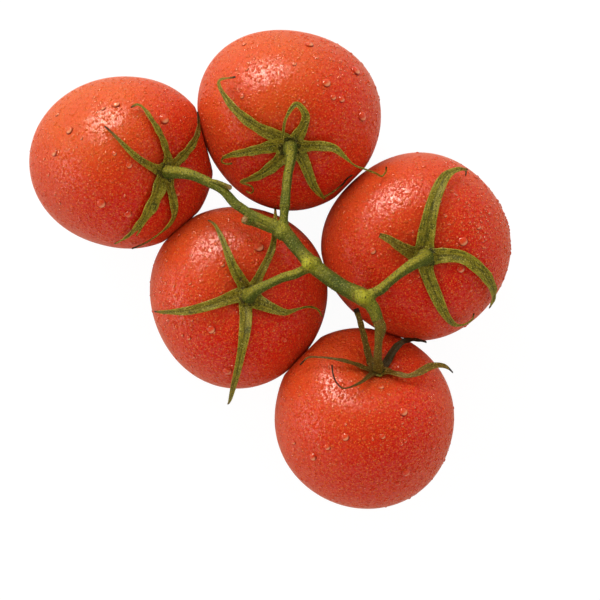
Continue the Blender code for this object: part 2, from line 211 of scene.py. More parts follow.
def skin_radius(fruit, toward):
    """Distance from the centre to the skin along unit vectors.

    ((sin t / girth)^bulge + (cos t / half)^bulge)^(-1 / bulge), t the angle from the stem axis, less a
    bell-shaped hollow at each end, times 1 + sum of share cos(count (bearing - its bearing)). A pressed
    face is a plane: the smaller of that and distance / cos, with a rounded edge.
    """
    angle = np.arccos(np.clip(toward @ fruit["axis"], -1, 1))
    r = ((np.sin(angle) / fruit["girth"]) ** bulge
         + (np.abs(np.cos(angle)) / fruit["half"]) ** bulge) ** (-1 / bulge)
    r = r - fruit["dimple"] * np.exp(-(np.degrees(angle) / dimple_spread) ** 2)
    r = r - scar_depth * np.exp(-((180 - np.degrees(angle)) / scar_spread) ** 2)
    level = toward[..., 0] + 1j * toward[..., 1]
    lobes = 1.0
    for count, share, bearing in fruit["lobes"]:
        lobes = lobes + share * ((level * np.exp(-1j * math.radians(bearing))) ** count).real
    r = r * lobes
    for normal, distance in fruit["pressed"]:
        facing = toward @ normal
        face = np.where(facing > 0.05, distance / np.maximum(facing, 0.05), 20 * distance)
        least = np.minimum(r, face)
        r = least - press_round * np.log(
            np.exp((least - r) / press_round) + np.exp((least - face) / press_round))
    return r


def unit_rows(vectors):
    """Each vector divided by its own length."""
    return vectors / np.linalg.norm(vectors, axis=-1, keepdims=True)


def full_turn(sides):
    """Angles once round, in radians, as one row: 2 pi k / sides."""
    return np.linspace(0, 2 * math.pi, sides, endpoint=False)[None]


def sphere_of(rows, sides):
    """Unit vectors on a grid of polar angle by turn, without the poles."""
    polar, turn = np.linspace(0, math.pi, rows + 1)[1:-1, None], full_turn(sides)
    return np.stack([np.sin(polar) * np.cos(turn), np.sin(polar) * np.sin(turn),
                     np.cos(polar) + 0 * turn], -1)


every_way = sphere_of(121, 180)
for fruit in fruits.values():
    fruit["turn"] = stem_turn(fruit["lean"], fruit["toward"])
    fruit["axis"] = fruit["turn"] @ (0, 0, 1)
    fruit["pressed"] = []
    lowest = (skin_radius(fruit, every_way) * every_way[..., 2]).min()
    fruit["at"] = np.array([*fruit["centre"], -lowest - flat_cut])
faces_to_press = []
for first, second in touching:
    one, other = fruits[first], fruits[second]
    between = other["at"] - one["at"]
    length = np.linalg.norm(between)
    share = length * one["girth"] / (one["girth"] + other["girth"])
    faces_to_press.append((one, between / length, share - press_gap / 2))
    faces_to_press.append((other, -between / length, length - share - press_gap / 2))
for fruit, normal, distance in faces_to_press:
    fruit["pressed"].append((normal, distance))


def ring_faces(rows, sides):
    """Faces of a grid of closed rings, with a fan to one more point at each end."""
    row, side = np.arange(rows - 1)[:, None] * sides, np.arange(sides)[None]
    along = (side + 1) % sides
    quads = np.stack([row + side, row + sides + side, row + sides + along, row + along], -1).reshape(-1, 4)
    first, last, base = rows * sides, rows * sides + 1, (rows - 1) * sides
    start = np.stack([np.full(sides, first), side[0], along[0]], -1)
    end = np.stack([np.full(sides, last), base + along[0], base + side[0]], -1)
    return quads.tolist() + start.tolist() + end.tolist()


def add_values(piece, name, values):
    """A number at each point, which the materials read by its name."""
    layer = piece.data.attributes.new(name, "FLOAT", "POINT")
    layer.data.foreach_set("value", np.ascontiguousarray(values, dtype=np.float32).ravel())


def node_group(name, takes, gives, kind):
    """New shader node group with number inputs and one output of a kind. Returns it and its inputs."""
    group = bpy.data.node_groups.new(name, "ShaderNodeTree")
    for key in takes:
        group.interface.new_socket(key, in_out="INPUT", socket_type="NodeSocketFloat")
    group.interface.new_socket(gives, in_out="OUTPUT", socket_type=kind)
    return group, wire(group, "NodeGroupInput").outputs


def value_of(tree, name):
    """The numbers that a piece holds under a name, as a socket."""
    return wire(tree, "ShaderNodeAttribute", settings={"attribute_name": name}).outputs["Fac"]


# cloudy: soft noise of a scale, stretched so that Low becomes 0 and High becomes 1
noise_detail, noise_roughness = 4.0, 0.55
cloudy, entry = node_group("cloudy", ("Scale", "Low", "High"), "Mask", "NodeSocketFloat")
place = wire(cloudy, "ShaderNodeTexCoord").outputs["Object"]
noise = wire(cloudy, "ShaderNodeTexNoise", {"Vector": place, "Scale": entry["Scale"], "Detail": noise_detail,
                                            "Roughness": noise_roughness}).outputs["Fac"]
wire(cloudy, "NodeGroupOutput", {"Mask": stretched(cloudy, noise, entry["Low"], entry["High"])})


def clouds(tree, scale, low, high):
    """Place the cloudy group in a material and return its mask."""
    return wire(tree, "ShaderNodeGroup", {"Scale": scale, "Low": low, "High": high},
                {"node_tree": cloudy}).outputs["Mask"]


def lit_side_share(fruit, points):
    """Share of painted lit-side orange: orange ((u . light - 0.25) / 0.70)^2.2, with u the outward direction and 0
    to 1 kept.
    """
    toward = unit_rows(points - fruit["at"])
    facing = np.clip((toward @ light_toward - 0.25) / 0.70, 0, 1)
    return fruit["orange"] * facing ** 2.2


# the skin's red with painted light: orange painted on the side facing the lamps, soft clouds, a fine grain,
# gold specks that are painted glints of the fine dew, darker round the stem and brown at the blossom scar. The dew
# and the drops show it too
deep_red, painted_lit_orange, cloud_red = (0.67, 0.006, 0.003, 1), (0.73, 0.082, 0.005, 1), (0.70, 0.028, 0.004, 1)
# painted glints of the fine dew: small golden specks laid over the red
grain_red, painted_glint_specks = (0.84, 0.080, 0.012, 1), (0.95, 0.30, 0.04, 1)
shoulder_red, scar_brown = (0.40, 0.030, 0.006, 1), (0.22, 0.12, 0.05, 1)
skin_red_and_painted_light, entry = node_group("skin_red_and_painted_light", ("Clouds", "Grain"), "Colour", "NodeSocketColor")
place = wire(skin_red_and_painted_light, "ShaderNodeTexCoord").outputs["Object"]
glint_dots = wire(skin_red_and_painted_light, "ShaderNodeTexVoronoi", {"Vector": place, "Scale": 1150.0}).outputs["Distance"]
wire(skin_red_and_painted_light, "NodeGroupOutput", {"Colour": layered(
    skin_red_and_painted_light, deep_red, (value_of(skin_red_and_painted_light, "painted_lit_side"), painted_lit_orange), (entry["Clouds"], cloud_red),
    (entry["Grain"], grain_red), (stretched(skin_red_and_painted_light, glint_dots, 0.30, 0.12, 0.0, 0.62), painted_glint_specks),
    (value_of(skin_red_and_painted_light, "shoulder"), shoulder_red), (value_of(skin_red_and_painted_light, "scar"), scar_brown))})


def skin_colour_and_painted_light(tree):
    """Place the group of the skin's red and its painted light in a material, with its clouds and grain, and return
    its colour.
    """
    masks = {"Clouds": clouds(tree, 26.0, 0.45, 0.80), "Grain": clouds(tree, 1800.0, 0.48, 0.66)}
    return wire(tree, "ShaderNodeGroup", masks, {"node_tree": skin_red_and_painted_light}).outputs["Colour"]


# the bare skin: a wet film lies on it as a net of droplets, seen best head on. At a grazing angle the
# colour is painted paler pink, a painted reflection of the pale room. The film's noise isn't the cloudy
# group, whose mask may not feed the Coat Normal
painted_rim_reflection = (0.72, 0.22, 0.07, 1)
skin, tree = new_material("tomato_skin")
grazed = wire(tree, "ShaderNodeLayerWeight", {"Blend": 0.25}).outputs["Facing"]
place = wire(tree, "ShaderNodeTexCoord").outputs["Object"]
mist = wire(tree, "ShaderNodeTexNoise", {"Vector": place, "Scale": 1100.0, "Detail": noise_detail,
                                         "Roughness": noise_roughness}).outputs["Fac"]
film = wire(tree, "ShaderNodeTexVoronoi", {"Vector": place, "Scale": 860.0}).outputs["Distance"]
dew = wire(tree, "ShaderNodeBump", {"Height": stretched(tree, mist, 0.30, 0.70), "Strength": 0.7,
                                    "Distance": 0.00014}).outputs["Normal"]
dew = wire(tree, "ShaderNodeBump", {"Height": stretched(tree, film, 0.40, 0.10, curve="SMOOTHSTEP"),
                                    "Strength": 0.8, "Distance": 0.00022, "Normal": dew}).outputs["Normal"]
set_shader(tree, Normal=dew, Coat_Normal=dew,
           Base_Color=layered(tree, skin_colour_and_painted_light(tree), (stretched(tree, grazed, 0.10, 0.70, 0.0, 0.42), painted_rim_reflection)),
           Roughness=stretched(tree, clouds(tree, 40.0, 0.35, 0.65), 0.0, 1.0, 0.32, 0.38),
           Coat_Weight=combined(tree, stretched(tree, film, 0.36, 0.64, 0.0, 0.80),
                                stretched(tree, grazed, 0.12, 0.45, 1.0, 0.15)),
           IOR=1.42, Specular_IOR_Level=0.10, Coat_Roughness=0.15, Coat_IOR=1.38,
           Subsurface_Weight=0.12, Subsurface_Radius=(1.0, 0.25, 0.12), Subsurface_Scale=0.004)

unit = sphere_of(fruit_belts, fruit_sides)
for letter, fruit in fruits.items():
    toward = unit @ fruit["turn"].T
    rows = fruit["at"] + skin_radius(fruit, toward)[..., None] * toward
    poles = [fruit["at"] + sign * skin_radius(fruit, sign * fruit["axis"]) * fruit["axis"] for sign in (1, -1)]
    points = np.concatenate([rows.reshape(-1, 3), poles])
    points[:, 2] = np.maximum(points[:, 2], 0)
    piece = surface("skin_" + letter, points, ring_faces(*unit.shape[:2]))
    angle = np.degrees(np.arccos(np.clip((points - fruit["at"]) @ fruit["axis"]
                                         / np.linalg.norm(points - fruit["at"], axis=1), -1, 1)))
    add_values(piece, "shoulder", 0.75 * np.exp(-(angle / 15) ** 2))
    add_values(piece, "scar", np.exp(-((180 - angle) / 2.6) ** 2))
    add_values(piece, "painted_lit_side", lit_side_share(fruit, points))
    piece.data.materials.append(skin)
    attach(piece, "root")
    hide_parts("fruit_" + letter)


# Dew: fine beads of water all over the skins, as left by a spray. Each is a low round cap that takes the
# colour of the skin under it and shines like water, with some painted golden glint in its colour, the fine ones
# most.
# the fine dew and the beads in it: how many are tried on a fruit, least and greatest radius in millimetres,
# height as a share of the radius, rows and sides of a cap, least upward part of the skin's normal, and share of
# painted golden glint
dew_kinds = [(3800, (0.11, 0.24), 0.45, 1, 5, -1.0, 0.38), (2600, (0.30, 0.90), 0.36, 2, 7, 0.28, 0.07)]
dew_jitter, dew_wobble = 0.32, 0.05
cap_sunk = 0.05         # how far a cap starts under the skin
random = np.random.default_rng(7)


def skin_frames(fruit, toward):
    """Point on the skin and its outward normal along unit vectors, from differences in two directions."""
    aside = unit_rows(np.cross(toward, (0.31, 0.52, 0.80)))
    ahead = np.cross(toward, aside)
    spots = []
    for shift in (0 * aside, 0.004 * aside, 0.004 * ahead):
        moved = unit_rows(toward + shift)
        spots.append(fruit["at"] + skin_radius(fruit, moved)[..., None] * moved)
    return spots[0], unit_rows(np.cross(spots[1] - spots[0], spots[2] - spots[0]))


def caps(spots, normals, radii, tallness, rows, sides, wobble):
    """Low round caps on the skin, one for each spot, as one array of points and one list of faces.

    A cap is a profile turned about its normal: at share s of the way up, radius R cos(90 s), height
    R tallness sin(90 s). Its outline wobbles by 1 + wobble (sin 2 t + 0.6 sin 3 t), each sine with a phase
    of its own. It starts a little under the skin and its underside is closed by a fan.
    """
    count = len(spots)
    side = unit_rows(np.cross(normals, (0.23, 0.71, 0.66)))
    up = np.cross(normals, side)
    share = np.linspace(0, 1, rows + 1)[:-1] * math.pi / 2
    turn = full_turn(sides)
    outline = 1 + wobble * (np.sin(turn * 2 + random.uniform(0, 6.3, (count, 1)))
                            + 0.6 * np.sin(turn * 3 + random.uniform(0, 6.3, (count, 1))))
    flat = np.cos(share)[None, :, None] * outline[:, None, :] * radii[:, None, None]
    high = (np.sin(share) * tallness)[None, :, None] * radii[:, None, None] - cap_sunk + 0 * flat
    body = (spots[:, None, None] + side[:, None, None] * (flat * np.cos(turn))[..., None]
            + up[:, None, None] * (flat * np.sin(turn))[..., None] + normals[:, None, None] * high[..., None])
    under = spots - normals * cap_sunk
    top = spots + normals * (radii * tallness - cap_sunk)[:, None]
    points = np.concatenate([body.reshape(count, -1, 3), under[:, None], top[:, None]], 1)
    pattern = ring_faces(rows, sides)
    per = rows * sides + 2
    faces = [[corner + i * per for corner in reversed(face)] for i in range(count) for face in pattern]
    return points.reshape(-1, 3), faces


def both(first, second):
    """Two meshes as one, each given as (points, faces)."""
    (points, faces), (more_points, more_faces) = first, second
    more_faces = [[corner + len(points) for corner in face] for face in more_faces]
    return np.concatenate([points, more_points]), faces + more_faces


painted_glint_gold = (1.0, 0.42, 0.08, 1)
bead_water, tree = new_material("dew_beads")
set_shader(tree, Base_Color=layered(tree, skin_colour_and_painted_light(tree), (value_of(tree, "glint_share"), painted_glint_gold)),
           Roughness=0.05, IOR=1.5, Specular_IOR_Level=0.3, Subsurface_Weight=0.1, Subsurface_Scale=0.002)


lowest_dew = -0.45      # upward part of the direction from the centre of a fruit, below which it is dry


def evenly(count, jitter):
    """Unit vectors spread evenly on a ball, each moved a little: a spiral with the golden angle."""
    step = np.arange(count)
    z = 1 - (2 * step + 1) / count
    turn = step * math.pi * (3 - math.sqrt(5))
    level = np.sqrt(1 - z * z)
    toward = np.stack([level * np.cos(turn), level * np.sin(turn), z], -1)
    toward = unit_rows(toward + random.normal(size=(count, 3)) * jitter * math.sqrt(4 * math.pi / count))
    return toward[toward[:, 2] > lowest_dew]


for letter, fruit in fruits.items():
    kinds, glint_shares = [], []
    for count, (least, most), tallness, rows, sides, facing_up, glint_share in dew_kinds:
        spots, normals = skin_frames(fruit, evenly(count, dew_jitter))
        kept = normals[:, 2] > facing_up
        spots, normals = spots[kept], normals[kept]
        radii = least + (most - least) * random.beta(1.3, 2.2, len(spots))
        kinds.append(caps(spots, normals, radii, tallness, rows, sides, dew_wobble))
        glint_shares.append(np.full(len(kinds[-1][0]), glint_share))
    points, faces = both(*kinds)
    piece = surface("dew_" + letter, points, faces)
    add_values(piece, "painted_lit_side", lit_side_share(fruit, points))
    add_values(piece, "glint_share", np.concatenate(glint_shares))
    piece.data.materials.append(bead_water)
    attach(piece, "root")


# Drops: the larger drops of water that stand on the skins here and there. The light that a clear drop
# gathers and the dark brim of its shade are painted on a cap in the colour of the skin, under a painted lighter
# veil.
# the large ones of each fruit: bearing in degrees, reach from the stem axis and radius in millimetres
drops = {
    "a": [(172, 44.5, 1.5), (156, 40.5, 1.5), (133, 33.5, 1.0), (125, 31.0, 1.5), (96, 18.5, 1.9),
          (171, 16.5, 1.2), (207, 27.0, 1.7), (227, 21.0, 1.3), (301, 9.5, 1.2), (147, 51.5, 0.9),
          (159, 34.5, 0.7), (205, 44.5, 0.8), (163, 22.0, 0.8)],
    "b": [(43, 40.0, 1.9), (77, 42.5, 1.5), (60, 27.0, 1.6), (119, 47.0, 1.0), (19, 29.0, 1.8),
          (42, 25.5, 1.2), (49, 24.0, 1.1), (134, 25.5, 0.9), (87, 31.0, 0.9), (121, 33.0, 0.7)],
    "c": [(78, 18.5, 1.8), (256, 30.0, 1.7), (222, 19.0, 1.5), (216, 28.0, 0.9), (131, 15.5, 1.0),
          (211, 30.0, 0.8), (168, 22.5, 0.7), (310, 22.0, 0.9)],
    "d": [(23, 15.5, 1.7), (342, 14.5, 1.4), (173, 19.5, 1.2), (76, 21.5, 0.9), (29, 23.0, 1.1),
          (243, 29.0, 0.9), (33, 30.5, 1.0)],
    "e": [(292, 21.0, 1.6), (270, 10.5, 1.2), (228, 44.5, 1.5), (244, 31.5, 1.4), (290, 42.5, 1.7),
          (235, 37.5, 1.2), (271, 28.5, 1.0), (286, 47.5, 1.1), (211, 45.5, 0.9), (312, 37.0, 1.0)],
}
# the small ones strewn between them: how many, and the bearing of the side where most of them are
strewn = {"a": (16, 160), "b": (90, 45), "c": (70, 190), "d": (230, 12), "e": (110, -20)}
strewn_spread, strewn_upward, lowest_drop = 0.55, 0.7, -0.1
small_radius = (0.32, 0.94)
large_cap, small_cap = (0.62, 7, 24, 0.04), (0.55, 4, 12, 0.05)    # tallness, rows, sides, wobble

# painted light and shade of a drop: a lighter veil, light gathered on the side away from the lamps, and a dark
# brim of shade
painted_lighter_veil, painted_gathered_light, painted_brim_shade = (0.86, 0.14, 0.050, 1), (1.0, 0.42, 0.20, 1), (0.22, 0.005, 0.002, 1)
water, tree = new_material("water")
in_shadow = wire(tree, "ShaderNodeLightPath").outputs["Is Shadow Ray"]
set_shader(tree, Roughness=0.03, IOR=1.4, Specular_IOR_Level=0.4,
           Base_Color=layered(tree, skin_colour_and_painted_light(tree), (0.25, painted_lighter_veil),
                              (value_of(tree, "gathered"), painted_gathered_light), (value_of(tree, "brim_shade"), painted_brim_shade)),
           Alpha=combined(tree, 1.0, combined(tree, 0.7, in_shadow), "SUBTRACT"))


def directions(fruit, bearing, reach):
    """Unit vectors at a bearing (radians) and reach (mm along the girth) from the stem axis."""
    angle = reach / fruit["girth"]
    local = np.stack([np.sin(angle) * np.cos(bearing), np.sin(angle) * np.sin(bearing), np.cos(angle)], -1)
    return local @ fruit["turn"].T


def drop_light(points, spots, normals, radii):
    """How far each point of a drop is in its painted dark brim of shade, and how far it has painted gathered
    light.

    With d the share of the radius from the middle of the drop, and f the same measured away from the
    side facing the lamps: the painted shade of the brim is a step of d from 0.72 to 0.92, times 0.45 + 0.7 f kept
    within 0.3 and 0.9. What is gathered is 0.8 times a step of f from 0.05 to 0.5, times a step of d down from
    0.80 to 0.92.
    """
    rel = points.reshape(len(spots), -1, 3) - spots[:, None]
    rise = (rel * normals[:, None]).sum(-1)
    level = rel - rise[..., None] * normals[:, None]
    far = (level @ -(light_toward * (1, 1, 0))) / 0.6 / radii[:, None]
    out = np.linalg.norm(level, axis=-1) / radii[:, None]
    brim_shade = np.clip((out - 0.72) / 0.2, 0, 1) * np.clip(0.45 + 0.7 * far, 0.3, 0.9)
    gathered = np.clip((far - 0.05) / 0.45, 0, 1) * np.clip((0.92 - out) / 0.12, 0, 1)
    return brim_shade.ravel(), 0.8 * gathered.ravel()


for letter, fruit in fruits.items():
    bearing, reach, size = np.array(drops[letter]).T
    spots, normals = skin_frames(fruit, directions(fruit, np.radians(bearing), reach))
    large = caps(spots, normals, size, *large_cap)
    lights = [drop_light(large[0], spots, normals, size)]
    count, side = strewn[letter]
    lean = np.array([math.cos(math.radians(side)), math.sin(math.radians(side)), strewn_upward])
    toward = unit_rows(random.normal(size=(count * 4, 3)) * strewn_spread + lean)
    spots, normals = skin_frames(fruit, toward[toward[:, 2] > lowest_drop][:count])
    least, most = small_radius
    size = least + (most - least) * random.beta(1.2, 3.0, len(spots))
    small = caps(spots, normals, size, *small_cap)
    lights.append(drop_light(small[0], spots, normals, size))
    points, faces = both(large, small)
    piece = surface("drops_" + letter, points, faces)
    brim_shade, gathered = np.concatenate(lights, axis=1)
    for key, value in (("brim_shade", brim_shade), ("gathered", gathered), ("painted_lit_side", lit_side_share(fruit, points))):
        add_values(piece, key, value)
    piece.data.materials.append(water)
    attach(piece, "root")


# Calyxes: the star of green sepals in the hollow of each fruit. A sepal is a soft leaf blade with a
# groove down its middle, fine veins and a dried tip. It lies near the skin, curls, or stands off it.
# each sepal: width, how bluntly it narrows, share where its thin tail begins, width of the tail or tip,
# length of the dried tip, how dried it is all over, then its path as (bearing, reach, rise). A row that
# begins away from the hub is a tooth, a tail or the fork of the sepal above it. The short one of c is a knob
sepals = {
    "a": [
        (3.7, 1.0, 1.0, 0.5, 8.0, 0.2, [(168, 5.5, 0.5), (159, 15, 1.5), (146, 28, 2)]),
        (3.4, 1.3, 1.0, 0.7, 2.6, 0.1, [(91, 4.5, 0.5), (113, 17.5, 1.5), (115, 25, 2), (122, 25.5, 2.5)]),
        (4.0, 1.6, 1.0, 0.6, 11.0, 0.1, [(42, 5.5, 0.5), (51, 16, 2), (59, 22.5, 3)]),
        (5.8, 1.6, 0.9, 0.5, 1.0, 0.0, [(235, 4, 0.5), (238, 14.3, 1.5), (242, 22.8, 1.5), (245, 33.2, 1.5)]),
        (1.9, 1.0, 1.0, 0.4, 0.5, 0.0, [(237, 13.0, 1.6), (244, 19.4, 1.5), (249, 24.8, 1.5)]),
        (3.7, 2.4, 0.62, 0.6, 13.0, 0.1, [(283, 5, 0.5), (280, 10.4, 1.5), (280, 15.4, 1.5), (274, 18.8, 1.5),
            (266, 23.4, 1.5), (261, 28.5, 1.5), (259, 32.3, 1.5)]),
    ],
    "b": [
        (5.2, 1.3, 0.92, 0.7, 4.0, 0.1, [(135, 6, 0.5), (144, 14.5, 1.5), (143, 25.5, 3), (139, 32.5, 4),
            (128, 29.5, 4.5)]),
        (4.6, 1.3, 0.72, 0.9, 0.5, 0.0, [(60, 6, 0.5), (70, 13.5, 4.5), (84, 16, 5.5), (97, 12, 5.5),
            (125, 5, 3.5)]),
        (4.6, 1.6, 0.58, 0.6, 1.5, 0.0, [(7, 5, 0.5), (9, 10.3, 2), (5, 14.0, 3.5), (356, 16.4, 5),
            (348, 19.2, 7), (346, 22.1, 9), (344, 24.9, 10.5), (342, 27.2, 11),
            (345, 27.6, 11.5), (349, 26.6, 12)]),
        (4.6, 1.7, 1.0, 0.6, 1.0, 0.0, [(320, 5.5, 0.5), (301, 15.5, 2), (301, 23.5, 2.2)]),
        (0.6, 1.0, 1.0, 0.4, 9.0, 0.9, [(301, 22.6, 2.0), (309, 23.6, 1.6), (320, 24.3, 1.6), (327, 24.2, 1.8),
            (332, 24.8, 2.2)]),
        (4.9, 1.6, 0.72, 0.5, 0.5, 0.0, [(233, 5, 0.5), (222, 14, 2), (218, 21.6, 2.5), (222, 21.0, 2.2),
            (228, 20.3, 1.8), (233, 21.9, 1.5), (233, 24.8, 1.2), (230, 25.4, 1.0)]),
        (4.9, 1.5, 0.80, 0.6, 0.5, 0.0, [(172, 6, 0.5), (182, 13.8, 2), (187, 19.8, 2.5), (192, 24.2, 2.5),
            (197, 25.8, 2), (199, 24.9, 1.5), (199, 22.4, 1.2)]),
    ],
    "c": [
        (4.4, 1.1, 1.0, 0.5, 3.5, 0.1, [(119, 5.5, 0.5), (121, 11.9, 2), (116, 20.9, 2.5), (115, 27.7, 2.5),
            (117, 31.2, 2.5)]),
        (1.9, 1.0, 1.0, 1.3, 0.5, 0.6, [(100, 4.0, 1.2), (112, 5.6, 2.4), (122, 7.0, 2.8)]),
        (3.7, 1.0, 1.0, 1.0, 2.5, 0.3, [(61, 4.8, 0.6), (63, 7.4, 1.5), (64, 10.9, 2), (64, 14.2, 2.8),
            (65, 17.3, 3.6), (67, 19.8, 4.6), (72, 31, 6)]),
        (4.6, 1.4, 1.0, 0.5, 4.0, 0.2, [(182, 5, 0.5), (193, 12.8, 2), (194, 21.1, 2.5), (192, 28.7, 2.5),
            (190, 37.1, 2.5)]),
        (5.0, 0.9, 1.0, 0.5, 4.0, 0.1, [(253, 4.5, 0.5), (261, 9.5, 1), (262, 33.5, 4.5), (264, 47.5, 5.5)]),
        (4.8, 1.6, 0.58, 0.7, 1.0, 0.1, [(325, 4.5, 0.5), (330, 9.5, 2), (335, 14.0, 2.5), (344, 17.2, 3),
            (349, 20.5, 3.2), (349, 24.8, 3), (345, 29.3, 2.5)]),
    ],
    "d": [
        (5.7, 2.2, 1.0, 0.6, 2.5, 0.0, [(92, 5.5, 0.5), (84, 17.5, 2), (78, 26.1, 3), (73, 30.8, 3),
            (67, 34.1, 3.2), (62, 35.8, 3.4)]),
        (0.8, 1.0, 1.0, 0.4, 3.0, 0.8, [(67, 34.3, 3.3), (63, 35.0, 3.2), (62, 32.7, 3)]),
        (5.8, 1.2, 1.0, 1.6, 0.5, 0.5, [(160, 5, 0.5), (155, 9.9, 2.5), (152, 14.4, 3.2), (153, 17.6, 3.6)]),
        (4.8, 2.4, 1.0, 0.7, 3.0, 0.0, [(5, 4, 0.5), (8, 7, 1.0), (2, 12.8, 2), (348, 19.1, 2.5),
            (338, 24.8, 3), (329, 31.7, 2), (321, 36.5, 1.5)]),
        (5.0, 1.6, 0.85, 0.6, 3.5, 0.0, [(277, 5.5, 0.5), (287, 15.3, 1.5), (291, 23.2, 1.5), (296, 29.4, 1.5),
            (302, 31.0, 2), (307, 30.2, 2.5), (311, 27.3, 3)]),
    ],
    "e": [
        (2.8, 1.6, 1.0, 1.8, 1.5, 1.1, [(123, 6, 1), (123, 12.5, 14.5)]),
        (2.8, 2.2, 1.0, 0.8, 9.0, 1.5, [(44, 5.5, 0.5), (49, 9.2, 2.5), (47, 12.1, 4), (43, 14.3, 4.5),
            (38, 17.4, 4.5), (34, 20.7, 4.5)]),
        (3.1, 2.6, 1.0, 0.6, 3.0, 0.95, [(343, 3.6, 0.8), (325, 7.6, 2.5), (328, 11.0, 3), (338, 13.1, 4),
            (353, 15.9, 5), (359, 18.8, 5.5), (2, 22.0, 5.5), (3, 25.8, 5)]),
        (2.0, 1.3, 0.6, 0.5, 9.0, 1.3, [(229, 5, 1), (234, 11.6, 2.5), (229, 15.5, 3), (223, 18.1, 3.5),
            (213, 18.2, 4), (204, 17.3, 5), (196, 16.3, 6)]),
        (2.3, 1.6, 0.65, 0.7, 2.5, 1.2, [(185, 5.5, 1), (185, 10.5, 2.5), (182, 14.9, 3.5), (177, 19.8, 4),
            (174, 23.6, 4), (177, 26.4, 3.5)]),
    ],
}
waist = {"e": {2: (0.36, 0.45)}}    # share of the way along, and share of the width that is missing there
# all in millimetres: reach of the root inside the hub, room under a blade, step along it, its thickness
# at the root and how much less that is at the tip. Then the number of points across one side
sepal_root, sepal_clear, sepal_step, blade_thick, tip_less, sepal_across = 1.8, 0.3, 0.42, 0.62, 0.28, 14
# shares of half the width: rise and ripple of the edges. In millimetres: depth of the groove, height of
# the veins. As v, from 0 in the middle to 1 at the edge: width of the groove, place and width of a vein
edge_rise, edge_ripple, groove_depth, vein_height = 0.24, 0.16, 0.16, 0.05
groove_width, vein_at, vein_width = 0.12, 0.5, 0.08
root_flare, flare_length, waist_length, edge_thinner = 0.22, 3.5, 0.10, 0.55
hub_radius = {"a": 4.4, "b": 4.8, "c": 4.6, "d": 4.8, "e": 3.6}
# the dark ring in the hub round the head of the pedicel, out to this radius and 0.3 mm more, is painted shade
hub_rise, shade_ring_radius = (0.3, 1.3), 3.1


def on_skin(fruit, bearing, reach, rise):
    """Points at a bearing (radians) and reach (mm) from the stem axis, risen above the skin (mm)."""
    toward = directions(fruit, bearing, reach)
    return fruit["at"] + (skin_radius(fruit, toward) + rise)[..., None] * toward


def clear_of_skins(points, room):
    """Move points outward until none is nearer than room to any skin."""
    for _ in range(3):
        for fruit in fruits.values():
            arm = points - fruit["at"]
            length = np.linalg.norm(arm, axis=-1)
            toward = arm / length[..., None]
            points = fruit["at"] + np.maximum(length, skin_radius(fruit, toward) + room)[..., None] * toward
    return points


def smooth_path(marks, step):
    """Smooth run through the rows of marks at even steps: a centripetal Catmull-Rom curve."""
    marks = np.array(marks, float)
    marks = np.vstack([2 * marks[0] - marks[1], marks, 2 * marks[-1] - marks[-2]])
    knots = np.concatenate([[0], np.cumsum(np.linalg.norm(np.diff(marks[:, :3], axis=0), axis=1) ** 0.5)])
    t = np.linspace(knots[1], knots[-2], 400)
    i = np.clip(np.searchsorted(knots, t, side="right") - 1, 1, len(marks) - 3)
    t = t[:, None]
    t0, t1, t2, t3 = (knots[i + k][:, None] for k in (-1, 0, 1, 2))
    p0, p1, p2, p3 = (marks[i + k] for k in (-1, 0, 1, 2))
    a1 = ((t1 - t) * p0 + (t - t0) * p1) / (t1 - t0)
    a2 = ((t2 - t) * p1 + (t - t1) * p2) / (t2 - t1)
    a3 = ((t3 - t) * p2 + (t - t2) * p3) / (t3 - t2)
    b1 = ((t2 - t) * a1 + (t - t0) * a2) / (t2 - t0)
    b2 = ((t3 - t) * a2 + (t - t1) * a3) / (t3 - t1)
    fine = ((t2 - t) * b1 + (t - t1) * b2) / (t2 - t1)
    run = np.concatenate([[0], np.cumsum(np.linalg.norm(np.diff(fine[:, :3], axis=0), axis=1))])
    even = np.linspace(0, run[-1], max(8, round(run[-1] / step) + 1))
    return np.stack([np.interp(even, run, fine[:, k]) for k in range(fine.shape[1])], -1)


